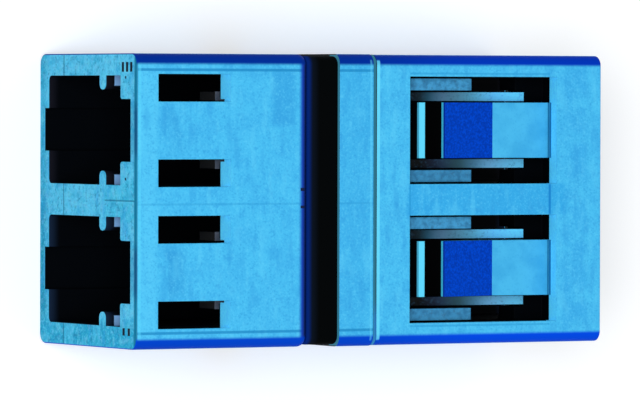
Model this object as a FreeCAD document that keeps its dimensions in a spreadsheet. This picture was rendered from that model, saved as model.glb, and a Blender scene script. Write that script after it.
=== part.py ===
import FreeCAD, Part
import math
import os

import Sketcher
from FreeCAD import Placement, Rotation, Vector

# Duplex fibre adapter: two plug ports side by side in one moulded body. The plugs go in along X,
# the ports stand side by side along Y, and the latch side faces up. Millimetres. Inside each
# sub-part the stations along X are counted from the front mouth; the placements then bring the
# middle of the body's underside to the origin.

SIZES = {
    # overall body
    "front_length": (12.02, "front mouth to the seam between the two halves"),
    "rear_length": (11.9, "seam to the rear mouth"),
    "body_width": (13.04, "across both ports"),
    "body_height": (9.5, "underside to latch side"),
    "edge_radius": (0.47, "rounding of the four long edges"),
    "front_round": (0.09, "rounding of the front rim"),
    "end_round": (0.12, "rounding of the rear rim"),
    "port_pitch": (6.25, "between the two port centres"),
    # joint between the halves
    "seam_width": (0.14, "width of the shadow groove at the seam"),
    "seam_depth": (0.35, "depth of the shadow groove"),
    "seam_wall": (0.45, "wall between the groove and the carrier pocket"),
    # neck with the black band
    "neck_start": (8.62, "station where the neck begins"),
    "neck_length": (1.59, "length of the neck"),
    "neck_depth": (0.46, "how far the neck lies under the skin"),
    "shoulder_round": (0.37, "rounding of the front shell towards the neck"),
    "rim_proud": (0.02, "how far the rim stands out at each narrow side"),
    "band_sink": (0.08, "how far the band lies under the skin"),
    "band_play": (0.02, "clearance between band and neck"),
    "band_round": (0.14, "rounding of the band's outer edges"),
    # plug cavity, the same at both ends
    "cavity_width": (4.84, "width of the plug cavity"),
    "cavity_floor": (0.89, "height of the cavity floor"),
    "cavity_roof": (5.93, "height of the cavity's upper edge"),
    "cavity_round": (0.25, "inner corners of the cavity"),
    "notch_width": (1.92, "key notch in the cavity floor"),
    "notch_floor": (0.49, "height of the notch floor"),
    # latch way of a front port
    "rib_gap": (3.6, "between the two guide ribs at the mouth"),
    "rib_top": (6.52, "height of the ribs' upper face"),
    "rib_nose": (0.27, "rounding of the ribs' inner ends"),
    "ear_roof": (1.545, "wall over the slots for the latch ears"),
    "relief_roof": (1.02, "wall over the latch way behind the mouth"),
    "stem_width": (2.765, "slot for the latch arm"),
    "stem_roof": (0.573, "wall over the latch arm's slot"),
    "stem_round": (0.14, "rounding where stem and ear slots meet"),
    "latch_way_end": (6.5, "station where the latch way ends"),
    "window_start": (1.083, "station of the ear windows' catching edge"),
    "window_length": (3.6, "length of an ear window"),
    "window_inner": (1.273, "port centre to the window's near side"),
    "window_outer": (2.49, "port centre to the window's far side"),
    # alignment sleeve and its carriers
    "axis_height": (3.415, "height of the ferrule axis"),
    "ferrule_bore": (1.25, "bore of the split sleeve"),
    "sleeve_wall": (0.185, "wall of the split sleeve"),
    "sleeve_length": (6.8, "length of the split sleeve"),
    "sleeve_slit": (0.3, "width of the slit"),
    "sleeve_play": (0.04, "clearance round the sleeve"),
    "lip_thickness": (0.45, "end lip that keeps the sleeve in"),
    "lip_play": (0.075, "clearance of the ferrule in the lip"),
    "lip_flare": (24.0, "degrees that the lip's funnel opens towards the plug"),
    "barrel_wall": (0.62, "wall of the barrel round the sleeve"),
    "barrel_chamfer": (0.18, "lead-in chamfer on the barrel's tip"),
    "flange_thickness": (1.4, "carrier flange"),
    "flange_width": (5.34, "carrier flange across the port"),
    "flange_floor": (0.82, "height of the flange's lower edge"),
    "flange_play": (0.03, "clearance of the flange in its pocket"),
    # guide rails of the carriers
    "rail_gap": (2.64, "between the two rails, where the latch moves"),
    "rail_width": (0.4, "width of a rail"),
    "rail_lift": (0.12, "cavity's upper edge to the rails' lower face"),
    "rail_play": (0.455, "clearance of the rails under the cavity's ceiling"),
    "front_rail": (5.65, "length of the rails in front of the front flange"),
    "rear_rail": (7.55, "length of the rails behind the rear flange"),
    # ledges, web and stop blade of the rear carrier
    "ledge_gap": (0.08, "groove between rail and ledge"),
    "ledge_width": (0.535, "width of a ledge"),
    "ledge_drop": (0.68, "skin to the ledges' upper face"),
    "ledge_length": (4.0, "length of the ledges"),
    "web_thickness": (0.3, "web under rails and ledges"),
    "blade_start": (2.43, "seam to the stop blade"),
    "blade_head": (0.3, "length of the blade's head"),
    "blade_stem": (0.13, "thickness of the blade's stem"),
    "blade_depth": (0.25, "height of the blade's head"),
    "blade_drop": (0.25, "skin to the top of the blade"),
    # rear windows and rear port
    "rear_roof": (0.64, "top wall over the rear chamber"),
    "rear_window_start": (1.817, "seam to the rear window"),
    "rear_window_length": (7.693, "length of a rear window"),
    "lintel": (1.83, "thickness of the wall over the rear mouth"),
    "shelf_reach": (0.35, "guide shelf over the rear cavity, past the tips of the rails"),
    "shelf_play": (0.1, "clearance of the rail tips in the shelf's notches"),
    "latch_play": (0.66, "latch to the guide shelf under it"),
    "key_width": (2.4, "key slot over the rear cavity"),
    "key_height": (0.87, "height of the key slot over the cavity"),
    # sprung latches of the rear ports
    "latch_width": (2.51, "width of a latch"),
    "latch_drop": (0.74, "skin to the latch's flat"),
    "latch_thickness": (0.8, "thickness of the latch's flat"),
    "latch_flat": (3.52, "knuckle to the foot of the ramp"),
    "latch_ramp": (2.86, "length of the ramp"),
    "tip_drop": (0.1, "skin to the tip of the ramp"),
    "tip_thickness": (0.33, "thickness of the tip"),
    "hook_setback": (1.85, "tip to the hook's catching face"),
    "hook_land": (0.4, "width of the hook's lower end"),
    "hook_lead": (1.4, "length of the hook's lead-in slope"),
    "hook_level": (6.3, "height of the hook's lower end"),
    "knuckle_play": (0.03, "clearance of the knuckle in its seat"),
}


class Size:
    """A length with its value and the formula that the document keeps for it."""

    def __init__(self, value, formula):
        self.value = value
        self.formula = formula

    def __add__(self, other):
        other = as_size(other)
        return Size(self.value + other.value, f"({self.formula} + {other.formula})")

    def __sub__(self, other):
        other = as_size(other)
        return Size(self.value - other.value, f"({self.formula} - {other.formula})")

    def __mul__(self, factor):
        return Size(self.value * factor, f"({self.formula} * {factor})")

    def __truediv__(self, factor):
        return Size(self.value / factor, f"({self.formula} / {factor})")

    def __neg__(self):
        return Size(-self.value, f"(0 - {self.formula})")


def as_size(number):
    return number if isinstance(number, Size) else Size(float(number), repr(float(number)))


def smaller(first, second):
    return Size(min(first.value, second.value), f"min({first.formula}; {second.formula})")


def bind(feature, name, size):
    size = as_size(size)
    setattr(feature, name, size.value)
    feature.setExpression(name, size.formula)


doc = FreeCAD.newDocument("duplex_fibre_adapter")
sheet = doc.addObject("Spreadsheet::Sheet", "Sizes")
cell = {}
for row, (alias, (number, note)) in enumerate(SIZES.items(), start=1):
    sheet.set(f"A{row}", alias)
    sheet.set(f"B{row}", str(number))
    sheet.set(f"C{row}", note)
    sheet.setAlias(f"B{row}", alias)
    cell[alias] = Size(number, f"Sizes.{alias}")
doc.recompute()


class Levels:
    """Heights and stations that several sub-parts share, worked out from the sheet."""

    front_mouth = as_size(0)
    seam = cell["front_length"]
    length = cell["front_length"] + cell["rear_length"]
    port_side = cell["port_pitch"] / 2
    top = cell["body_height"]
    cavity_side = cell["cavity_width"] / 2
    ear_top = top - cell["ear_roof"]
    relief_top = top - cell["relief_roof"]
    stem_top = top - cell["stem_roof"]
    flange_top = top - cell["seam_depth"] - cell["seam_wall"] - cell["flange_play"]
    rear_ceiling = top - cell["rear_roof"]
    front_shoulder = seam - cell["flange_thickness"]
    rear_shoulder = seam + cell["flange_thickness"]
    lintel_face = length - cell["lintel"]
    rail_tip = rear_shoulder + cell["rear_rail"]
    shelf_face = rail_tip - cell["shelf_reach"]
    latch_top = top - cell["latch_drop"]
    pivot_height = latch_top - cell["latch_thickness"] / 2
    shelf_top = latch_top - cell["latch_thickness"] - cell["latch_play"]
    rail_side = cell["rail_gap"] / 2 + cell["rail_width"]
    rail_floor = cell["cavity_roof"] + cell["rail_lift"]
    rail_top = ear_top - cell["rail_play"]


# ---------------------------------------------------------------- sketches and features


def new_body(label):
    body = doc.addObject("PartDesign::Body", label)
    body.Label = label
    return body


def plane_of(body, role):
    return next(item for item in body.Origin.OriginFeatures if item.Role == role)


def new_sketch(body, name, role, offset):
    """An empty sketch on one of the body's own planes, moved along the plane's normal."""
    sketch = body.newObject("Sketcher::SketchObject", f"{body.Label}_{name}")
    sketch.AttachmentSupport = [(plane_of(body, role), "")]
    sketch.MapMode = "FlatFace"
    offset = as_size(offset)
    sketch.AttachmentOffset = Placement(Vector(0, 0, offset.value), Rotation())
    sketch.setExpression("AttachmentOffset.Base.z", offset.formula)
    return sketch


def tie(sketch, geometry, point, across, up):
    """Ties one point of the sketch to its two dimensions from the origin."""
    for kind, axis, size in (("DistanceX", -2, across), ("DistanceY", -1, up)):
        size = as_size(size)
        if size.formula == "0.0":
            sketch.addConstraint(Sketcher.Constraint("PointOnObject", geometry, point, axis))
            continue
        made = Sketcher.Constraint(kind, -1, 1, geometry, point, size.value)
        index = sketch.addConstraint(made)
        sketch.setExpression(f"Constraints[{index}]", size.formula)


def sign(number):
    return 0 if abs(number) < 1e-9 else int(math.copysign(1, number))


def add_outline(sketch, corners):
    """A closed outline; a corner is (across, up) or, at a right angle, (across, up, radius)."""
    places = [(as_size(c[0]), as_size(c[1]), c[2] if len(c) > 2 else None) for c in corners]
    entries, exits, arcs = [], [], []
    for i, (across, up, radius) in enumerate(places):
        if radius is None:
            entries.append((across, up))
            exits.append((across, up))
            arcs.append(None)
            continue
        before, after = places[i - 1], places[(i + 1) % len(places)]
        come = (sign(across.value - before[0].value), sign(up.value - before[1].value))
        leave = (sign(after[0].value - across.value), sign(after[1].value - up.value))
        entries.append((across - radius * come[0], up - radius * come[1]))
        exits.append((across + radius * leave[0], up + radius * leave[1]))
        turns_left = come[0] * leave[1] - come[1] * leave[0] > 0
        centre = Vector(entries[i][0].value + radius.value * leave[0],
                        entries[i][1].value + radius.value * leave[1], 0)
        arcs.append((centre, radius, turns_left))
    lines = []
    for i in range(len(places)):
        start, end = exits[i], entries[(i + 1) % len(places)]
        line = Part.LineSegment(Vector(start[0].value, start[1].value, 0),
                                Vector(end[0].value, end[1].value, 0))
        lines.append(sketch.addGeometry(line, False))
    for i, line in enumerate(lines):
        tie(sketch, line, 1, *exits[i])
        follower = (i + 1) % len(lines)
        if arcs[follower] is None:
            sketch.addConstraint(Sketcher.Constraint("Coincident", line, 2, lines[follower], 1))
            continue
        tie(sketch, line, 2, *entries[follower])
        add_corner_arc(sketch, line, lines[follower], entries[follower], exits[follower],
                       arcs[follower])


def add_corner_arc(sketch, line_in, line_out, entry, leave, arc):
    centre, radius, turns_left = arc
    angles = [math.atan2(place[1].value - centre.y, place[0].value - centre.x)
              for place in (entry, leave)]
    if not turns_left:
        angles.reverse()
    circle = Part.Circle(centre, Vector(0, 0, 1), radius.value)
    made = sketch.addGeometry(Part.ArcOfCircle(circle, *angles), False)
    first, last = (1, 2) if turns_left else (2, 1)
    sketch.addConstraint(Sketcher.Constraint("Coincident", line_in, 2, made, first))
    sketch.addConstraint(Sketcher.Constraint("Coincident", line_out, 1, made, last))
    index = sketch.addConstraint(Sketcher.Constraint("Radius", made, radius.value))
    sketch.setExpression(f"Constraints[{index}]", radius.formula)


def add_box(sketch, left, right, low, high, radius=None):
    corner = () if radius is None else (radius,)
    add_outline(sketch, [(left, low, *corner), (right, low, *corner),
                         (right, high, *corner), (left, high, *corner)])


def add_circle(sketch, across, up, radius):
    across, up = as_size(across), as_size(up)
    circle = Part.Circle(Vector(across.value, up.value, 0), Vector(0, 0, 1), radius.value)
    made = sketch.addGeometry(circle, False)
    tie(sketch, made, 3, across, up)
    index = sketch.addConstraint(Sketcher.Constraint("Radius", made, radius.value))
    sketch.setExpression(f"Constraints[{index}]", radius.formula)


def pad(body, name, sketch, length, side="One side"):
    feature = body.newObject("PartDesign::Pad", f"{body.Label}_{name}")
    feature.Profile = sketch
    feature.SideType = side
    bind(feature, "Length", length)
    return feature


def pocket(body, name, sketch, length, reverse=False, side="One side"):
    feature = body.newObject("PartDesign::Pocket", f"{body.Label}_{name}")
    feature.Profile = sketch
    feature.SideType = side
    feature.Reversed = reverse
    bind(feature, "Length", length)
    return feature


def round_edges(body, name, base, wanted, radius):
    """Rounds the edges of base whose middle and direction answer to wanted(edge)."""
    doc.recompute()
    names = [f"Edge{i}" for i, edge in enumerate(base.Shape.Edges, start=1) if wanted(edge)]
    feature = body.newObject("PartDesign::Fillet", f"{body.Label}_{name}")
    feature.Base = (base, names)
    bind(feature, "Radius", radius)
    return feature


def middle(edge):
    return edge.valueAt((edge.FirstParameter + edge.LastParameter) / 2)


def runs_along_x(edge):
    box = edge.BoundBox
    return box.XLength > 0.01 and box.YLength < 1e-6 and box.ZLength < 1e-6


def lies_at(edge, station):
    box = edge.BoundBox
    return abs(box.XMin - station.value) < 1e-4 and abs(box.XMax - station.value) < 1e-4


def on_skin(edge, half_width):
    """True for the four long corner edges of a body section of that half width."""
    place = middle(edge)
    outside = abs(abs(place.y) - half_width.value) < 1e-4
    ends = abs(place.z) < 1e-4 or abs(place.z - Levels.top.value) < 1e-4
    return outside and ends


def both_ports(body, name, cuts):
    """Repeats the cuts of the near port at the other port."""
    pattern = body.newObject("PartDesign::LinearPattern", f"{body.Label}_{name}")
    pattern.Originals = cuts
    pattern.Direction = (plane_of(body, "Y_Axis"), [""])
    pattern.Occurrences = 2
    bind(pattern, "Length", cell["port_pitch"])
    body.Tip = pattern
    return pattern


def place(body, across=0, station=0, turned=False):
    """Puts a sub-part into the adapter: its stations count from the front mouth."""
    along = as_size(station) - Levels.length / 2
    across = as_size(across)
    turn = Rotation(Vector(0, 0, 1), 180 if turned else 0)
    body.Placement = Placement(Vector(along.value, across.value, 0), turn)
    body.setExpression("Placement.Base.x", along.formula)
    body.setExpression("Placement.Base.y", across.formula)


# ---------------------------------------------------------------- the two housing halves


def section(body, name, station, length, inset, proud=0):
    """A length of the body's outer skin, inset all round or proud at the narrow sides."""
    sketch = new_sketch(body, f"{name}_outline", "YZ_Plane", station)
    half = cell["body_width"] / 2 - inset + proud
    add_box(sketch, -half, half, as_size(inset), Levels.top - inset)
    return pad(body, name, sketch, length)


def mouth_profile(centre, top, ribs):
    """Cross-section of a front port: key notch, plug cavity and the T-shaped latch way."""
    side, notch = Levels.cavity_side, cell["notch_width"] / 2
    gap, stem = cell["rib_gap"] / 2, cell["stem_width"] / 2
    right = [(notch, cell["notch_floor"]),
             (notch, cell["cavity_floor"]),
             (side, cell["cavity_floor"], cell["cavity_round"])]
    if ribs:
        right += [(side, cell["cavity_roof"]),
                  (gap, cell["cavity_roof"], cell["rib_nose"]),
                  (gap, cell["rib_top"], cell["rib_nose"]),
                  (side, cell["rib_top"])]
    right += [(side, top),
              (stem, top, cell["stem_round"]),
              (stem, Levels.stem_top)]
    left = [(-corner[0], *corner[1:]) for corner in reversed(right)]
    return [(centre + corner[0], *corner[1:]) for corner in right + left]


def flange_pocket(body, near, station):
    """Pocket that holds the flange of a sleeve carrier against its shoulder."""
    sketch = new_sketch(body, "flange_outline", "YZ_Plane", station)
    half = cell["flange_width"] / 2 + cell["flange_play"]
    add_box(sketch, near - half, near + half, cell["flange_floor"] - cell["flange_play"],
            Levels.flange_top + cell["flange_play"], cell["cavity_round"])
    return pocket(body, "flange_pocket", sketch, cell["flange_thickness"], reverse=True)


def front_housing():
    body = new_body("front_housing")
    half = cell["body_width"] / 2
    near = -Levels.port_side
    rim_start = cell["neck_start"] + cell["neck_length"]
    land = cell["seam_width"] / 2
    shell = section(body, "shell", 0, cell["neck_start"], 0)
    edges = round_edges(body, "long_edges", shell,
                        lambda e: runs_along_x(e) and on_skin(e, half), cell["edge_radius"])
    shoulder = smaller(cell["shoulder_round"], cell["edge_radius"] * 0.95)
    edges = round_edges(body, "shoulder", edges,
                        lambda e: lies_at(e, cell["neck_start"]), shoulder)
    front_round = smaller(cell["front_round"], cell["edge_radius"] * 0.95)
    round_edges(body, "front_rim", edges, lambda e: lies_at(e, Levels.front_mouth), front_round)
    section(body, "neck", cell["neck_start"], cell["neck_length"], cell["neck_depth"])
    rim = section(body, "rim", rim_start, Levels.seam - land - rim_start, 0, cell["rim_proud"])
    section(body, "seam_land", Levels.seam - land, land, cell["seam_depth"])
    doc.recompute()
    round_edges(body, "rim_edges", body.Tip,
                lambda e: runs_along_x(e) and on_skin(e, half + cell["rim_proud"])
                and e.BoundBox.XMin > rim_start.value - 1e-4, cell["edge_radius"])

    sketch = new_sketch(body, "mouth_outline", "YZ_Plane", 0)
    add_outline(sketch, mouth_profile(near, Levels.ear_top, ribs=True))
    mouth = pocket(body, "mouth", sketch, cell["window_start"], reverse=True)
    sketch = new_sketch(body, "latch_way_outline", "YZ_Plane", cell["window_start"])
    add_outline(sketch, mouth_profile(near, Levels.relief_top, ribs=False))
    latch_way = pocket(body, "latch_way", sketch,
                       cell["latch_way_end"] - cell["window_start"], reverse=True)
    sketch = new_sketch(body, "cavity_outline", "YZ_Plane", cell["latch_way_end"])
    side = Levels.cavity_side
    add_outline(sketch, [(near - side, cell["cavity_floor"], cell["cavity_round"]),
                         (near + side, cell["cavity_floor"], cell["cavity_round"]),
                         (near + side, Levels.ear_top), (near - side, Levels.ear_top)])
    cavity = pocket(body, "cavity", sketch, Levels.front_shoulder - cell["latch_way_end"],
                    reverse=True)
    flange = flange_pocket(body, near, Levels.front_shoulder)
    sketch = new_sketch(body, "window_outline", "XY_Plane", Levels.top)
    start, end = cell["window_start"], cell["window_start"] + cell["window_length"]
    add_box(sketch, start, end, near - cell["window_outer"], near - cell["window_inner"])
    add_box(sketch, start, end, near + cell["window_inner"], near + cell["window_outer"])
    windows = pocket(body, "windows", sketch, cell["ear_roof"])
    both_ports(body, "ports", [mouth, latch_way, cavity, flange, windows])
    place(body)
    return body


def rear_housing():
    body = new_body("rear_housing")
    half = cell["body_width"] / 2
    near = -Levels.port_side
    land = cell["seam_width"] / 2
    side = Levels.cavity_side
    shell = section(body, "shell", Levels.seam + land, cell["rear_length"] - land, 0)
    edges = round_edges(body, "long_edges", shell,
                        lambda e: runs_along_x(e) and on_skin(e, half), cell["edge_radius"])
    end_round = smaller(cell["end_round"], cell["edge_radius"] * 0.95)
    round_edges(body, "rear_rim", edges, lambda e: lies_at(e, Levels.length), end_round)
    section(body, "seam_land", Levels.seam, land, cell["seam_depth"])

    flange = flange_pocket(body, near, Levels.seam)
    sketch = new_sketch(body, "chamber_outline", "YZ_Plane", Levels.rear_shoulder)
    corner = cell["cavity_round"]
    add_outline(sketch, [(near - side, cell["cavity_floor"], corner),
                         (near + side, cell["cavity_floor"], corner),
                         (near + side, Levels.rear_ceiling), (near - side, Levels.rear_ceiling)])
    chamber = pocket(body, "chamber", sketch, Levels.shelf_face - Levels.rear_shoulder,
                     reverse=True)
    sketch = new_sketch(body, "latch_room_outline", "YZ_Plane", Levels.shelf_face)
    add_box(sketch, near - side, near + side, Levels.shelf_top, Levels.rear_ceiling)
    latch_room = pocket(body, "latch_room", sketch, Levels.lintel_face - Levels.shelf_face,
                        reverse=True)
    sketch = new_sketch(body, "rail_notch_outline", "YZ_Plane", Levels.shelf_face)
    inner = cell["rail_gap"] / 2 - cell["shelf_play"]
    outer = Levels.rail_side + cell["shelf_play"]
    low = cell["cavity_roof"] - cell["shelf_play"]
    add_box(sketch, near - outer, near - inner, low, Levels.shelf_top)
    add_box(sketch, near + inner, near + outer, low, Levels.shelf_top)
    rail_notches = pocket(body, "rail_notches", sketch, cell["shelf_reach"] + cell["shelf_play"],
                          reverse=True)
    sketch = new_sketch(body, "mouth_outline", "YZ_Plane", Levels.shelf_face)
    key, notch = cell["key_width"] / 2, cell["notch_width"] / 2
    key_top = cell["cavity_roof"] + cell["key_height"]
    right = [(notch, cell["notch_floor"]), (notch, cell["cavity_floor"]),
             (side, cell["cavity_floor"], corner), (side, cell["cavity_roof"], corner),
             (key, cell["cavity_roof"]), (key, key_top, corner)]
    left = [(-c[0], *c[1:]) for c in reversed(right)]
    add_outline(sketch, [(near + c[0], *c[1:]) for c in right + left])
    mouth = pocket(body, "mouth", sketch, Levels.length - Levels.shelf_face, reverse=True)
    sketch = new_sketch(body, "window_outline", "XY_Plane", Levels.top)
    start = Levels.seam + cell["rear_window_start"]
    add_box(sketch, start, start + cell["rear_window_length"], near - side, near + side)
    window = pocket(body, "window", sketch, cell["rear_roof"] + 0.01)
    sketch = new_sketch(body, "knuckle_outline", "XZ_Plane", Levels.port_side)
    add_circle(sketch, Levels.lintel_face, Levels.pivot_height,
               cell["latch_thickness"] / 2 + cell["knuckle_play"])
    knuckle = pocket(body, "knuckle_seat", sketch, cell["latch_width"] + cell["knuckle_play"] * 4,
                     side="Symmetric")
    both_ports(body, "ports",
               [flange, chamber, latch_room, rail_notches, mouth, window, knuckle])
    place(body)
    return body


def panel_band():
    """Black band that fills the neck and grips the panel."""
    body = new_body("panel_band")
    half = cell["body_width"] / 2
    outer, inner = cell["band_sink"], cell["neck_depth"] - cell["band_play"]
    sketch = new_sketch(body, "ring_outline", "YZ_Plane", cell["neck_start"])
    add_box(sketch, outer - half, half - outer, outer, Levels.top - outer,
            cell["edge_radius"] - cell["band_sink"])
    add_box(sketch, inner - half, half - inner, inner, Levels.top - inner)
    ring = pad(body, "ring", sketch, cell["neck_length"])

    def outer_edge(edge):
        place = middle(edge)
        depth = min(half.value - abs(place.y), place.z, Levels.top.value - place.z)
        return abs(edge.BoundBox.XLength) < 1e-6 and depth < (outer.value + inner.value) / 2
    round_edges(body, "outer_edges", ring, outer_edge, cell["band_round"])
    place(body)
    return body


# ---------------------------------------------------------------- sleeves and carriers


def split_sleeve(label, across):
    """Slit ceramic tube that lines up the two ferrules of one channel."""
    body = new_body(label)
    inner = cell["ferrule_bore"] / 2
    outer = inner + cell["sleeve_wall"]
    sketch = new_sketch(body, "ring_outline", "YZ_Plane", -cell["sleeve_length"] / 2)
    add_circle(sketch, 0, cell["axis_height"], outer)
    add_circle(sketch, 0, cell["axis_height"], inner)
    pad(body, "tube", sketch, cell["sleeve_length"])
    sketch = new_sketch(body, "slit_outline", "YZ_Plane", -cell["sleeve_length"] / 2)
    half = cell["sleeve_slit"] / 2
    add_box(sketch, -half, half, cell["axis_height"], cell["axis_height"] + outer + half)
    pocket(body, "slit", sketch, cell["sleeve_length"], reverse=True)
    place(body, across, Levels.seam)
    return body


def carrier(label, across, rail_length, turned):
    """Half of the sleeve holder of one channel, counted from the seam outwards."""
    body = new_body(label)
    half = cell["flange_width"] / 2
    seat = cell["ferrule_bore"] / 2 + cell["sleeve_wall"] + cell["sleeve_play"]
    seat_length = cell["sleeve_length"] / 2 + cell["sleeve_play"]
    barrel_length = seat_length + cell["lip_thickness"]
    sketch = new_sketch(body, "flange_outline", "YZ_Plane", 0)
    add_box(sketch, -half, half, cell["flange_floor"], Levels.flange_top,
            cell["cavity_round"])
    pad(body, "flange", sketch, cell["flange_thickness"])
    sketch = new_sketch(body, "barrel_outline", "YZ_Plane", cell["flange_thickness"])
    add_circle(sketch, 0, cell["axis_height"], seat + cell["barrel_wall"])
    barrel = pad(body, "barrel", sketch, barrel_length - cell["flange_thickness"])
    doc.recompute()
    tip = body.newObject("PartDesign::Chamfer", f"{label}_barrel_tip")
    tip.Base = (barrel, [f"Edge{i}" for i, edge in enumerate(barrel.Shape.Edges, start=1)
                         if lies_at(edge, barrel_length)])
    bind(tip, "Size", smaller(cell["barrel_chamfer"], cell["barrel_wall"] * 0.6))
    sketch = new_sketch(body, "rail_outline", "YZ_Plane", cell["flange_thickness"])
    for near, far in ((-Levels.rail_side, -cell["rail_gap"] / 2),
                      (cell["rail_gap"] / 2, Levels.rail_side)):
        add_box(sketch, near, far, Levels.rail_floor, Levels.rail_top)
    pad(body, "rails", sketch, rail_length)
    if not turned:
        rear_ledges(body)
    sketch = new_sketch(body, "seat_outline", "YZ_Plane", 0)
    add_circle(sketch, 0, cell["axis_height"], seat)
    pocket(body, "sleeve_seat", sketch, seat_length, reverse=True)
    sketch = new_sketch(body, "lip_outline", "YZ_Plane", seat_length)
    add_circle(sketch, 0, cell["axis_height"], cell["ferrule_bore"] / 2 + cell["lip_play"])
    funnel = pocket(body, "lip_funnel", sketch, cell["lip_thickness"], reverse=True)
    bind(funnel, "TaperAngle", cell["lip_flare"])
    place(body, across, Levels.seam, turned)
    return body


def rear_ledges(body):
    """Ledges, web and stop blade round the free end of a rear latch."""
    flange = cell["flange_thickness"]
    near = Levels.rail_side + cell["ledge_gap"]
    far = near + cell["ledge_width"]
    floor = Levels.rail_floor
    web_top = floor + cell["web_thickness"]
    sketch = new_sketch(body, "ledge_outline", "YZ_Plane", flange)
    for left, right in ((-far, -near), (near, far)):
        add_box(sketch, left, right, floor, Levels.top - cell["ledge_drop"])
    pad(body, "ledges", sketch, cell["ledge_length"])
    blade_end = cell["blade_start"] + cell["blade_head"]
    sketch = new_sketch(body, "web_outline", "YZ_Plane", flange)
    add_box(sketch, -far, far, floor, web_top)
    pad(body, "web", sketch, blade_end - flange)
    sketch = new_sketch(body, "ledge_web_outline", "YZ_Plane", flange)
    for left, right in ((-far, -Levels.rail_side + cell["rail_width"] / 2),
                        (Levels.rail_side - cell["rail_width"] / 2, far)):
        add_box(sketch, left, right, floor, web_top)
    pad(body, "ledge_webs", sketch, cell["ledge_length"])
    sketch = new_sketch(body, "blade_outline", "XZ_Plane", 0)
    head_top = Levels.top - cell["blade_drop"]
    head_floor = head_top - cell["blade_depth"]
    stem = blade_end - cell["blade_stem"]
    add_outline(sketch, [(stem, floor), (blade_end, floor), (blade_end, head_top),
                         (cell["blade_start"], head_top), (cell["blade_start"], head_floor),
                         (stem, head_floor)])
    pad(body, "blade", sketch, cell["latch_width"], side="Symmetric")


def rear_latch(label, across):
    """Sprung latch of a rear port, with a lift ramp on top and a hook underneath."""
    body = new_body(label)
    pivot, height = Levels.lintel_face, Levels.pivot_height
    radius = cell["latch_thickness"] / 2
    foot = pivot - cell["latch_flat"]
    tip = foot - cell["latch_ramp"]
    tip_top = Levels.top - cell["tip_drop"]
    underside = height - radius
    catch = tip + cell["hook_setback"]
    sketch = new_sketch(body, "side_outline", "XZ_Plane", 0)
    hook_end = catch + cell["hook_land"]
    add_outline(sketch, [(pivot, height + radius), (foot, height + radius), (tip, tip_top),
                         (tip, tip_top - cell["tip_thickness"]), (catch, underside),
                         (catch, cell["hook_level"]), (hook_end, cell["hook_level"]),
                         (hook_end + cell["hook_lead"], underside), (pivot, underside)])
    pad(body, "arm", sketch, cell["latch_width"], side="Symmetric")
    sketch = new_sketch(body, "knuckle_outline", "XZ_Plane", 0)
    add_circle(sketch, pivot, height, radius)
    pad(body, "knuckle", sketch, cell["latch_width"], side="Symmetric")
    place(body, across)
    return body


# ---------------------------------------------------------------- the assembly


def build():
    parts = [front_housing(), rear_housing(), panel_band()]
    for side, across in (("a", Levels.port_side), ("b", -Levels.port_side)):
        parts.append(split_sleeve(f"split_sleeve_{side}", across))
        parts.append(carrier(f"front_carrier_{side}", across, cell["front_rail"], turned=True))
        parts.append(carrier(f"rear_carrier_{side}", across, cell["rear_rail"], turned=False))
        parts.append(rear_latch(f"rear_latch_{side}", across))
    doc.recompute()
    return parts


def check(parts):
    """Stops at a failed object, an empty cut or a sub-part that isn't one sound solid."""
    for item in doc.Objects:
        if "Invalid" in item.State or "Error" in item.State:
            raise RuntimeError(f"{item.Label} failed: {item.State}")
        if item.TypeId == "PartDesign::Pocket":
            removed = item.BaseFeature.Shape.Volume - item.Shape.Volume
            if removed < 1e-4:
                raise RuntimeError(f"{item.Label} cuts nothing")
    for part in parts:
        shape = part.Shape
        if shape.isNull() or not shape.isValid() or len(shape.Solids) != 1:
            raise RuntimeError(f"{part.Label} is not one sound solid")


def write(parts):
    os.makedirs("parts", exist_ok=True)
    for part in parts:
        part.Shape.exportStep(f"parts/{part.Label}.step")
        print(part.Label, round(part.Shape.Volume, 3), "mm3")


parts = build()
check(parts)
write(parts)
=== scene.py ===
from math import radians

import bpy
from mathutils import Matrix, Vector


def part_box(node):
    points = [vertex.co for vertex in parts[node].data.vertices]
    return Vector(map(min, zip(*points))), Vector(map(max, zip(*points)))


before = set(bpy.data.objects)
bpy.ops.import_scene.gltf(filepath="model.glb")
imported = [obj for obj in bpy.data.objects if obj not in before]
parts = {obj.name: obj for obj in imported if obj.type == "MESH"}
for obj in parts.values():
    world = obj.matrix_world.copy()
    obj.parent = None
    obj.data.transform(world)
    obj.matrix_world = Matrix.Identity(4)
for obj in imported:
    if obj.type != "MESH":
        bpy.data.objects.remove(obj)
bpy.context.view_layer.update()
scene = bpy.context.scene


# ------------------------------------------------------------------ camera


# Long lens, looking down on the latch side from the front left.
lens = bpy.data.cameras.new("camera")
lens.sensor_width = 36
lens.lens = 354.87
lens.clip_start, lens.clip_end = 0.02, 5
camera = bpy.data.objects.new("camera", lens)
camera.location = (-0.139359, 0.004794, 0.255225)
camera.rotation_euler = (radians(-1.06604), radians(-29.06927), radians(0.17503))
scene.collection.objects.link(camera)
scene.camera = camera
scene.view_settings.view_transform = "Standard"


# ------------------------------------------------------------------ split sleeves


# Two slit sleeves that hold the facing ferrules in line. They are white zirconia, ground smooth,
# and lie loose in the bores of the carriers.


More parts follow.
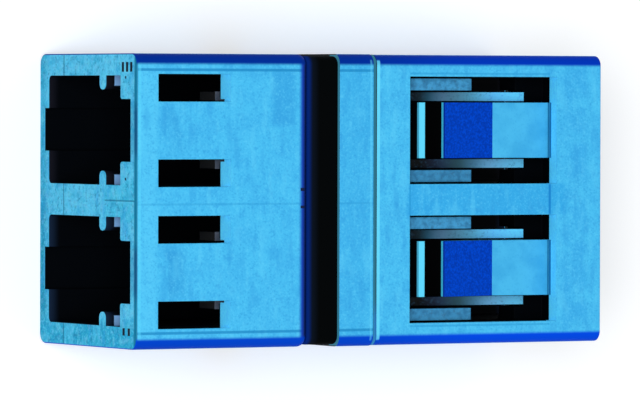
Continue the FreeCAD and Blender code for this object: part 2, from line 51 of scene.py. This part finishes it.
class Paint:
    """One material and the nodes that are added to it. Lengths are in millimetres."""

    def __init__(self, name):
        self.material = bpy.data.materials.new(name)
        self.material.use_nodes = True
        self.tree = self.material.node_tree
        self.shader = self.tree.nodes["Principled BSDF"]
        spot = self.node("ShaderNodeTexCoord")
        scaled = self.node("ShaderNodeVectorMath", operation="SCALE")
        self.link(spot.outputs["Object"], scaled.inputs[0])
        scaled.inputs["Scale"].default_value = 1000
        self.place = scaled.outputs["Vector"]
        self.x, self.y, self.z = self.split(self.place)
        self.facing = self.split(spot.outputs["Normal"])

    def node(self, kind, **settings):
        made = self.tree.nodes.new(kind)
        for name, value in settings.items():
            setattr(made, name, value)
        return made

    def link(self, source, target):
        self.tree.links.new(source, target)

    def feed(self, socket, value):
        if isinstance(value, bpy.types.NodeSocket):
            self.link(value, socket)
        else:
            socket.default_value = value

    def split(self, vector):
        made = self.node("ShaderNodeSeparateXYZ")
        self.link(vector, made.inputs[0])
        return made.outputs[0], made.outputs[1], made.outputs[2]

    def math(self, operation, *values):
        made = self.node("ShaderNodeMath", operation=operation)
        for socket, value in zip(made.inputs, values):
            self.feed(socket, value)
        return made.outputs[0]

    def joined(self, operation, values):
        result = values[0]
        for value in values[1:]:
            result = self.math(operation, result, value)
        return result

    def least(self, *values):
        return self.joined("MINIMUM", values)

    def most(self, *values):
        return self.joined("MAXIMUM", values)

    def both(self, *masks):
        return self.joined("MULTIPLY", masks)

    def less(self, first, second):
        return self.math("SUBTRACT", first, second)

    def times(self, value, factor):
        return self.math("MULTIPLY", value, factor)

    def absolute(self, value):
        return self.math("ABSOLUTE", value)

    def without(self, mask):
        return self.less(1, mask)

    def step(self, value, start, end):
        """0 before start and 1 past end, with a smooth change between them."""
        made = self.node("ShaderNodeMapRange", interpolation_type="SMOOTHSTEP")
        self.feed(made.inputs["Value"], value)
        made.inputs["From Min"].default_value = start
        made.inputs["From Max"].default_value = end
        return made.outputs["Result"]

    def until(self, value, start, end):
        """1 before start and 0 past end, with a smooth change between them."""
        return self.without(self.step(value, start, end))

    def line(self, value, middle, half, soft=0.02):
        """1 within half of middle, 0 away from it."""
        return self.until(self.absolute(self.less(value, middle)), half, half + soft)

    def span(self, value, start, end, soft=0.03):
        """1 from start to end, 0 away from them."""
        return self.line(value, (start + end) / 2, (end - start) / 2, soft)

    def noise(self, grain, detail=3.0, stretch=(1, 1, 1)):
        scaled = self.node("ShaderNodeVectorMath", operation="MULTIPLY")
        self.link(self.place, scaled.inputs[0])
        scaled.inputs[1].default_value = [1 / (grain * factor) for factor in stretch]
        made = self.node("ShaderNodeTexNoise")
        self.link(scaled.outputs["Vector"], made.inputs["Vector"])
        made.inputs["Scale"].default_value = 1
        made.inputs["Detail"].default_value = detail
        return made.outputs["Fac"]

    def mix(self, amount, first, second, strength=1.0):
        if strength != 1:
            amount = self.times(amount, strength)
        made = self.node("ShaderNodeMix", data_type="RGBA")
        self.feed(made.inputs[0], amount)
        self.feed(made.inputs[6], first)
        self.feed(made.inputs[7], second)
        return made.outputs[2]

    def shades(self, value, *stops):
        """The colour that belongs to a value; a stop is (value, red, green, blue)."""
        first, last = stops[0][0], stops[-1][0]
        spread = self.node("ShaderNodeMapRange")
        self.link(value, spread.inputs["Value"])
        spread.inputs["From Min"].default_value = first
        spread.inputs["From Max"].default_value = last
        made = self.node("ShaderNodeValToRGB")
        self.link(spread.outputs["Result"], made.inputs["Fac"])
        marks = made.color_ramp.elements
        while len(marks) < len(stops):
            marks.new(1)
        for mark, (spot, *tone) in zip(marks, stops):
            mark.position = (spot - first) / (last - first)
            mark.color = colour(*tone)
        return made.outputs["Color"]

    def bump(self, height, depth, strength=0.5, soft_edge=0.05):
        """Normals of a surface with that relief, and with its edges softened by that radius."""
        edge = self.node("ShaderNodeBevel", samples=6)
        edge.inputs["Radius"].default_value = soft_edge / 1000
        made = self.node("ShaderNodeBump")
        self.link(height, made.inputs["Height"])
        self.link(edge.outputs["Normal"], made.inputs["Normal"])
        made.inputs["Distance"].default_value = depth / 1000
        made.inputs["Strength"].default_value = strength
        return made.outputs["Normal"]

    def surface(self, **values):
        for name, value in values.items():
            self.feed(self.shader.inputs[name.replace("_", " ")], value)

    def cover(self, *names):
        for name in names:
            for slot in parts[name].material_slots:
                slot.link = "OBJECT"
                slot.material = self.material


def colour(red, green, blue):
    """A linear colour from its usual 0-255 values."""
    def linear(level):
        level /= 255
        return level / 12.92 if level <= 0.04045 else ((level + 0.055) / 1.055) ** 2.4
    return (linear(red), linear(green), linear(blue), 1)


ceramic = Paint("white_ceramic")
ceramic.surface(Base_Color=ceramic.mix(ceramic.step(ceramic.noise(0.3, 2.0), 0.4, 0.7),
                                       colour(236, 234, 226), colour(224, 221, 212)),
                Roughness=0.16, Specular_IOR_Level=0.6)
ceramic.cover("split_sleeve_a", "split_sleeve_b")


# ------------------------------------------------------------------ sleeve carriers


# Each port has a front and a rear carrier round its sleeve, moulded in grey-blue plastic and held
# between the housing halves. Rails, ledges and the stop blade have painted light where they catch
# light in the windows, brighter and bluer towards the rear; everything below them is painted near
# black as shade.
sleeve_low, sleeve_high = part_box("split_sleeve_a")
port_side = 500 * (sleeve_low.y + sleeve_high.y)
lit_level, blade_level, blade_reach = 6.9, 9.05, 1.3
groove_start, groove_end = 1.74, 1.78
# Painted shade: near black for the insides of ports, windows and grooves and for faces under the
# lit ones.
painted_inside_shade = colour(4, 7, 12)

carrier = Paint("carrier_grey")
x, z = carrier.x, carrier.z
upward = carrier.step(carrier.facing[2], 0.5, 0.8)
aside = carrier.less(carrier.absolute(carrier.y), port_side)
plus_side = carrier.step(carrier.times(aside, carrier.math("SIGN", carrier.y)), -0.1, 0.1)
aside = carrier.absolute(aside)
past_groove = carrier.step(aside, groove_start, groove_end)

# Rails on the +Y and the -Y side of each port, by their place along the adapter, with painted
# light
# and shade: dark where the window's front wall shades them, brighter towards the rear, darker on
# the
# -Y side, and the front rails dark at their front end. The ledges beyond them are painted half
# shaded, darker on the -Y side.
plus_rail = carrier.shades(x, (3.2, 16, 34, 44), (3.5, 27, 52, 64), (3.95, 40, 92, 118),
                           (4.75, 92, 140, 176), (5.6, 101, 173, 208), (6.4, 98, 190, 222),
                           (7.4, 100, 204, 248), (8.5, 104, 226, 252))
minus_rail = carrier.shades(x, (3.5, 8, 15, 19), (4.35, 26, 40, 64), (4.75, 38, 64, 92),
                            (5.6, 50, 96, 110), (6.4, 78, 138, 170), (7.2, 108, 176, 215),
                            (8.5, 108, 208, 244))
front_rail = carrier.shades(x, (-7.5, 16, 22, 28), (-7.2, 96, 106, 124))
rail = carrier.mix(plus_side, minus_rail, plus_rail)
rail = carrier.mix(carrier.until(x, -1, 0), rail, front_rail)
ledge = carrier.mix(carrier.step(carrier.noise(0.25, 3.0), 0.35, 0.7),
                    colour(68, 160, 210), colour(48, 126, 172))
ledge = carrier.mix(carrier.without(plus_side), ledge, colour(34, 98, 140), 0.3)
tone = carrier.mix(past_groove, rail, ledge)
flecks = carrier.step(carrier.noise(0.12, 3.0), 0.5, 0.75)
tone = carrier.mix(flecks, tone, colour(52, 96, 128), 0.45)
# Painted shade: everything but the upward faces at the rails' height is near black.
lit = carrier.both(upward, carrier.step(z, lit_level, lit_level + 0.1))
tone = carrier.mix(lit, painted_inside_shade, tone)
# Painted highlight: the top of each stop blade is pale cyan where it catches the light.
blade = carrier.both(carrier.step(z, blade_level, blade_level + 0.04),
                     carrier.until(aside, blade_reach, blade_reach + 0.1), carrier.step(x, 0.5, 1))
tone = carrier.mix(blade, tone, colour(94, 218, 255))

# Painted light: the rails glow with emission towards their rear ends, those on the +Y side more
# than the others.
painted_glow = carrier.both(lit, carrier.step(x, 5.2, 8.6), carrier.without(past_groove),
                    carrier.without(blade), carrier.math("MULTIPLY_ADD", plus_side, 0.7, 0.3))
carrier.surface(Base_Color=tone, Roughness=0.45, Specular_IOR_Level=0.15,
                Emission_Color=colour(70, 156, 255), Emission_Strength=carrier.times(painted_glow, 0.33),
                Normal=carrier.bump(carrier.noise(0.1), 0.004))
carrier.cover("front_carrier_a", "front_carrier_b", "rear_carrier_a", "rear_carrier_b")


# ------------------------------------------------------------------ front housing half


# Front half of the body, moulded in blue plastic and welded to the rear half at the seam. Its end
# face is greener and more mottled than its top. Fine lines are where the mould's inserts met.
rear_low, rear_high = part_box("rear_housing")
seam = 1000 * rear_low.x
half_length, half_width, height = 1000 * rear_high
band_low, band_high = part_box("panel_band")
shoulder, rim = 1000 * band_low.x, 1000 * band_high.x


class BluePlastic(Paint):
    face_blue, cloud_blue = colour(70, 192, 243), colour(60, 178, 236)
    edge_start, edge_end = 5.97, 6.15
    wall_depth, wall_fade = 0.90, 0.97

    def __init__(self, name, window_end):
        super().__init__(name)
        self.window_end = window_end
        self.across, self.under_top = self.absolute(self.y), self.less(height, self.z)
        self.from_front = self.math("ADD", self.x, half_length)
        self.from_rear = self.less(half_length, self.x)
        self.depth = self.least(self.less(half_width, self.across), self.times(self.z, 4),
                                self.under_top, self.times(self.from_front, 10),
                                self.times(self.from_rear, 10))
        self.at_port_b = self.until(self.y, -1, 1)
        self.to_front = self.step(self.facing[0], -0.8, -0.95)
        self.upward = self.step(self.facing[2], 0.85, 0.95)
        self.end = self.both(self.to_front, self.until(self.from_front, 0.05, 0.1))
        clouds = self.step(self.noise(1.6, 3.0, (1, 0.6, 1)), 0.35, 0.7)
        self.tint = self.mix(clouds, self.face_blue, self.cloud_blue, 0.6)

    def add(self, mask, tone, strength=1.0):
        self.tint = self.mix(mask, self.tint, tone, strength)

    def add_on_top(self, mask, tone, strength=1.0):
        self.add(self.both(self.upward, mask), tone, strength)

    def grain(self):
        """Moulding grain: darker and paler flecks and streaks."""
        speckle, spot = self.noise(0.09, 4.0), self.noise(0.3, 3.0)
        streak = self.noise(0.45, 3.0, (1, 4, 1))
        self.add(self.step(speckle, 0.5, 0.75), colour(40, 150, 216), 0.55)
        self.add(self.step(speckle, 0.5, 0.25), colour(98, 212, 252), 0.45)
        self.add(self.step(spot, 0.55, 0.75), colour(48, 160, 224), 0.45)
        self.add(self.step(streak, 0.52, 0.7), colour(46, 158, 224), 0.4)
        self.add(self.step(streak, 0.48, 0.3), colour(92, 208, 250), 0.35)

    def finish(self):
        self.paint_edge_shade()
        self.paint_seam_shade()
        self.paint_wall_glow()
        self.paint_shade_inside()

    def paint_edge_shade(self):
        """Painted shade: deep blue on the roundings of the long edges, which turn away from the
        light, brighter at port b and to the rear.
        """
        rearward = self.step(self.x, -2, 6)
        deep = self.mix(self.at_port_b, self.mix(rearward, colour(0, 46, 150), colour(0, 54, 186)),
                        self.mix(rearward, colour(0, 68, 204), colour(0, 74, 228)))
        ends = self.step(self.absolute(self.facing[0]), 0.8, 0.95)
        sides = self.times(self.step(self.absolute(self.facing[1]), 0.93, 0.999), 0.75)
        self.rounding = self.both(self.step(self.across, self.edge_start, self.edge_end),
                                  self.without(ends), self.without(sides))
        self.add(self.rounding, deep)

    def paint_seam_shade(self):
        """A dark groove of painted shade with a painted highlight along each lip, the rear one
        stronger.
        """
        seam_highlight = self.most(self.line(self.x, seam + 0.18, 0.05, 0.06),
                          self.times(self.line(self.x, seam - 0.19, 0.03, 0.04), 0.4))
        self.add_on_top(seam_highlight, colour(108, 228, 255), 0.7)
        groove_shade = self.mix(self.step(self.y, -5.6, -4.2), colour(10, 84, 164),
                               colour(1, 14, 24))
        self.add(self.line(self.x, seam + 0.027, 0.062, 0.02), groove_shade)

    def paint_wall_glow(self):
        """Painted light: walls just under the skin that face the front, and the side walls that
        lead to them, glow with emission up to the light of the top."""
        before_end = self.less(self.window_end, self.x)
        slant = self.math("MULTIPLY_ADD", before_end, 1.95, self.under_top)
        end_wall = self.both(self.to_front,
                             self.until(self.under_top, self.wall_depth, self.wall_fade))
        side_wall = self.both(self.step(self.absolute(self.facing[1]), 0.8, 0.95),
                              self.until(self.across, 5.8, 5.9), self.step(before_end, -0.05, 0),
                              self.until(slant, self.wall_depth, self.wall_fade))
        self.lit_wall = self.most(end_wall, side_wall)
        self.painted_glow = self.both(self.lit_wall, self.step(self.depth, 0.005, 0.03),
                              self.step(self.from_front, 0.1, 0.2))

    def paint_shade_inside(self):
        """Painted shade: near black in ports, windows and grooves, a little lighter just inside
        the mouths.
        """
        inside = self.both(self.step(self.depth, 0.15, 0.45), self.without(self.lit_wall))
        at_mouths = self.both(self.step(self.least(self.from_front, self.from_rear), 0.6, 0.03),
                              self.step(self.z, 0.8, 0.86))
        mouth_shade = self.mix(self.at_port_b, colour(24, 25, 35), colour(24, 40, 64))
        self.add(inside, self.mix(at_mouths, painted_inside_shade, mouth_shade))
        self.dull = self.most(self.rounding, inside, self.end)

    def show(self, name):
        gloss = self.times(self.without(self.times(self.dull, 0.85)), 0.16)
        self.surface(Base_Color=self.tint, Roughness=0.48, Specular_IOR_Level=gloss,
                     Emission_Color=colour(84, 190, 226),
                     Emission_Strength=self.times(self.painted_glow, 0.33),
                     Normal=self.bump(self.noise(0.09, 4.0), 0.004))
        self.cover(name)


front = BluePlastic("blue_housing_front", window_end=-7.28)
x, y, z = front.x, front.y, front.z
from_centre = front.absolute(front.less(front.across, port_side))
at_ports = front.until(from_centre, 0.7, 1.5)

# Top: darker blue patches between the ear windows, stronger at port b, a paler strip along the
# mouths, one darker patch before the shoulder, and a slightly deeper rim.
darker_patch_blue = colour(36, 146, 214)
darker_patch = front.both(front.upward, front.span(front.from_front, 1.56, 2.06, 0.6), at_ports,
                    front.step(front.noise(1.1, 3.0, (0.5, 1.6, 1)), 0.3, 0.65))
front.add(darker_patch, darker_patch_blue, 0.4)
front.add(front.both(darker_patch, front.at_port_b), darker_patch_blue, 0.4)
front.add(front.span(front.from_front, 0.16, 0.86, 0.3), colour(88, 208, 252), 0.45)
front.add(front.both(front.span(x, -5.0, -4.2, 0.4), front.span(y, 3.6, 5.6, 0.5)),
          colour(44, 158, 224), 0.6)
front.add(front.step(x, rim - 0.15, rim + 0.05), colour(48, 168, 230), 0.4)

# End face: darker near the underside, at port b's outer edge and between the ports, then three
# sizes of mottling, each with a darker and a paler tone.
near_underside = front.mix(front.at_port_b, colour(50, 164, 200), colour(18, 144, 178))
between = front.both(front.step(z, 6.2, 6.8), front.until(front.across, 0.7, 1.2))
fleck, cast, patch = front.noise(0.18, 3.0), front.noise(0.3, 3.0), front.noise(0.5, 3.0)
end_tone = colour(84, 192, 232)
for mask, tone, strength in (
        (front.until(z, 0.35, 0.95), near_underside, 1.0),
        (front.until(y, -5.6, -5.2), colour(6, 158, 200), 0.9),
        (between, colour(36, 178, 214), 0.5),
        (front.step(cast, 0.5, 0.68), colour(34, 180, 210), 0.5),
        (front.step(cast, 0.5, 0.32), colour(108, 186, 228), 0.5),
        (front.step(fleck, 0.52, 0.72), colour(30, 128, 170), 0.75),
        (front.step(fleck, 0.48, 0.3), colour(96, 208, 236), 0.55),
        (front.step(patch, 0.5, 0.7), colour(34, 150, 196), 0.6),
        (front.step(patch, 0.48, 0.3), colour(104, 200, 224), 0.45)):
    end_tone = front.mix(mask, end_tone, tone, strength)
front.add(front.end, end_tone)
front.grain()

# Mould lines: along the long edges and down the middle of the top, then across the end face
# under the axis and up its middle.
side_line, middle_line, axis_line = 5.80, -0.13, 2.42
front.add_on_top(front.line(front.across, side_line, 0.035, 0.05), colour(16, 134, 196), 0.8)
front.add_on_top(front.line(y, middle_line, 0.02, 0.05), colour(30, 146, 208), 0.35)
across_end = front.line(z, axis_line, 0.03, 0.03)
up_the_middle = front.both(front.line(y, 0.02, 0.02, 0.03), front.step(z, 6.4, 6.5))
front.add(front.both(front.end, front.most(across_end, up_the_middle)), colour(20, 104, 140), 0.7)

# Upper edge of the end face: painted shade over the ports and at the corner, with a painted gleam
# on top.
front.add(front.both(front.end, front.step(z, 8.7, 9.0), at_ports), colour(28, 118, 160), 0.35)
corner = front.both(front.until(front.from_front, 0.03, 0.09), front.step(z, 9.2, 9.36))
front.add(corner, front.mix(at_ports, colour(12, 116, 152), colour(2, 84, 128)))
front.add_on_top(front.span(front.from_front, 0.12, 0.2, 0.05), colour(92, 222, 255), 0.4)


def ticks(start, end, heights):
    """Plain moulded ticks from start to end across, one at each height."""
    rows = [front.line(z, height_of_tick, 0.095, 0.03) for height_of_tick in heights]
    return front.both(front.span(y, start, end), front.most(*rows))


pips = [front.both(front.line(y, spot, 0.05), front.line(z, 8.45, 0.05)) for spot in (5.46, 0.98)]
small_marks = front.most(ticks(5.72, 6.12, (8.18, 8.58, 8.98)), ticks(-5.9, -5.6, (8.3, 8.8)),
                         *pips)
front.add(front.both(front.end, small_marks), colour(4, 24, 40))

# Shoulder before the band: painted shade, deep blue where it rounds away from the light and
# turning dark, with two moulding nicks.
shoulder_shade = front.mix(front.step(x, shoulder - 0.34, shoulder - 0.08),
                          colour(0, 62, 184), colour(2, 26, 86))
front.add(front.both(front.step(x, shoulder - 0.52, shoulder - 0.28),
                     front.until(x, shoulder + 0.04, shoulder + 0.14)), shoulder_shade)
nicks = front.both(front.span(x, shoulder - 0.38, shoulder - 0.16),
                   front.most(front.line(y, 0.5, 0.06), front.line(y, -0.28, 0.05)))
front.add(nicks, colour(4, 22, 70))
front.finish()

# Shadow where the rim meets the band, and a pale fleck of light on the rib in each ear slot.
front.add(front.both(front.to_front, front.span(x, rim - 0.05, rim + 0.05)), painted_inside_shade)
slot_light = front.both(front.line(z, 6.52, 0.01), front.span(front.from_front, 0.46, 0.91),
                        front.span(from_centre, 1.86, 2.42))
front.add(slot_light, colour(128, 178, 232))
front.show("front_housing")


# ------------------------------------------------------------------ rear housing half


# Rear half of the body, moulded in the same plastic and welded on, with a large window over each
# latch. The bar between the windows is deeper in colour, the land behind them is cloudy, and thin
# mould lines run round them.
line_before, line_behind, line_beside = 1.88, 9.21, 5.68
line_blue = colour(22, 146, 208)

rear = BluePlastic("blue_housing_rear", window_end=9.57)
x = rear.x
between = rear.until(rear.across, 0.6, 0.8)
rear.add_on_top(rear.both(rear.span(x, 1.9, 9.9, 0.4), between), colour(44, 168, 232), 0.8)
clouds = rear.step(rear.noise(0.8), 0.35, 0.6)
rear.add_on_top(rear.both(rear.span(x, 10.1, 11.0, 0.35), clouds), colour(50, 168, 232), 0.6)
rear.grain()
rear.add_on_top(rear.both(rear.line(x, line_behind, 0.04, 0.04), between),
                colour(6, 130, 206), 0.9)
rear.add_on_top(rear.both(rear.line(x, line_before, 0.02, 0.03), between), line_blue, 0.6)
beside = rear.both(rear.line(rear.across, line_beside, 0.02, 0.05), rear.span(x, 1.9, 9.2))
rear.add_on_top(beside, line_blue, 0.5)
rear.finish()

# Shadow on the wall over the root of each latch.
latch_side = 1.24
from_centre = rear.absolute(rear.less(rear.across, port_side))
root = rear.both(rear.to_front, rear.span(rear.under_top, 0.5, 0.8),
                 rear.until(from_centre, latch_side, latch_side + 0.04))
rear.add(root, colour(20, 122, 184))
rear.painted_glow = rear.both(rear.painted_glow, rear.without(root))
rear.show("rear_housing")


# ------------------------------------------------------------------ black band


# Matt black plastic band that sits in the neck between the front shell and the rim. Its edge
# under the shoulder has a blue cast.
band = Paint("black_band")
tone = band.mix(band.step(band.x, shoulder + 0.24, shoulder + 0.64),
                colour(10, 18, 30), colour(3, 5, 6))
tone = band.mix(band.until(band.x, shoulder, shoulder + 0.28), tone, colour(4, 38, 118))
band.surface(Base_Color=tone, Roughness=0.8, Specular_IOR_Level=0.02,
             Normal=band.bump(band.noise(0.07, 2.0), 0.006))
band.cover("panel_band")


# ------------------------------------------------------------------ rear latches


# Two sprung latches, moulded in the same blue and held by a knuckle in the rear wall. The flat is
# pale; the lift ramp is painted deep blue as shade where it turns from the light, the lip has a
# painted highlight with painted shade along its top, and the hook underneath is painted near black
# as shade.
latch = Paint("blue_latch")
ramp = latch.both(latch.step(latch.facing[0], 0.08, 0.16), latch.step(latch.facing[2], 0.5, 0.8))
speckle = latch.noise(0.1, 4.0)
flat = latch.mix(latch.step(latch.noise(0.9, 2.0), 0.35, 0.7),
                 colour(72, 188, 238), colour(60, 174, 229))
flat = latch.mix(latch.step(speckle, 0.5, 0.75), flat, colour(46, 158, 222), 0.4)
# Painted shadow: a thin dark line across the flat where it runs under the window's end.
flat = latch.mix(latch.line(latch.x, rear.window_end, 0.02, 0.02), flat, colour(20, 118, 184))
blue = latch.mix(latch.step(speckle, 0.35, 0.7), colour(0, 58, 176), colour(0, 76, 216))
tone = latch.mix(ramp, flat, blue)
lip = latch.both(latch.step(latch.facing[0], -0.8, -0.95), latch.step(latch.z, 8.9, 9.0))
lip_highlight_and_shade = latch.mix(latch.step(latch.z, 9.22, 9.27), colour(76, 216, 255), colour(0, 58, 186))
tone = latch.mix(lip, tone, lip_highlight_and_shade)
tone = latch.mix(latch.step(latch.z, 8.2, 8.5), painted_inside_shade, tone)
gloss = latch.mix(ramp, (0.15, 0.15, 0.15, 1), (0.02, 0.02, 0.02, 1))
latch.surface(Base_Color=tone, Roughness=0.45, Specular_IOR_Level=gloss,
              Normal=latch.bump(latch.noise(0.1), 0.004))
latch.cover("rear_latch_a", "rear_latch_b")


# ------------------------------------------------------------------ floor and light


# Pale floor. It keeps the soft shadow and reads as white to the camera and in reflections, apart
# from a painted shadow close behind the rear end, dark and without the white glow.
reach = 3
corners = [(-reach, -reach, 0), (reach, -reach, 0), (reach, reach, 0), (-reach, reach, 0)]
floor_mesh = bpy.data.meshes.new("floor")
floor_mesh.from_pydata(corners, [], [(0, 1, 2, 3)])
floor = bpy.data.objects.new("floor", floor_mesh)
scene.collection.objects.link(floor)
card = Paint("floor_card")
seen = card.node("ShaderNodeLightPath").outputs
shown = card.most(seen["Is Camera Ray"], seen["Is Glossy Ray"], seen["Is Transmission Ray"])
# Painted shadow on the floor close behind the rear end.
behind = card.both(card.step(card.x, half_length - 0.16, half_length - 0.01),
                   card.until(card.x, half_length + 0.84, half_length + 2.44),
                   card.until(card.absolute(card.y), half_width - 1.42, half_width - 0.02))
white = card.times(card.both(shown, card.without(behind)), 0.35)
card.surface(Base_Color=card.mix(behind, colour(228, 229, 230), colour(30, 32, 36)),
             Roughness=0.9, Emission_Color=(1, 1, 1, 1), Emission_Strength=white)
floor_mesh.materials.append(card.material)

# Even light all round, a soft key light from the front and a weak fill from the rear.
world = bpy.data.worlds.new("studio")
world.use_nodes = True
backdrop = world.node_tree.nodes["Background"]
backdrop.inputs["Color"].default_value = (0.96, 0.98, 1, 1)
backdrop.inputs["Strength"].default_value = 0.42
scene.world = world


def soft_box(name, place, width, power):
    lamp = bpy.data.lights.new(name, "AREA")
    lamp.shape = "DISK"
    lamp.size = width
    lamp.energy = power
    box = bpy.data.objects.new(name, lamp)
    box.location = place
    box.rotation_euler = (-Vector(place)).to_track_quat("-Z", "Y").to_euler()
    scene.collection.objects.link(box)


soft_box("key_light", (-0.28, 0, 0.43), 0.30, 1.75)
soft_box("fill_light", (0.34, -0.12, 0.40), 0.35, 0.25)
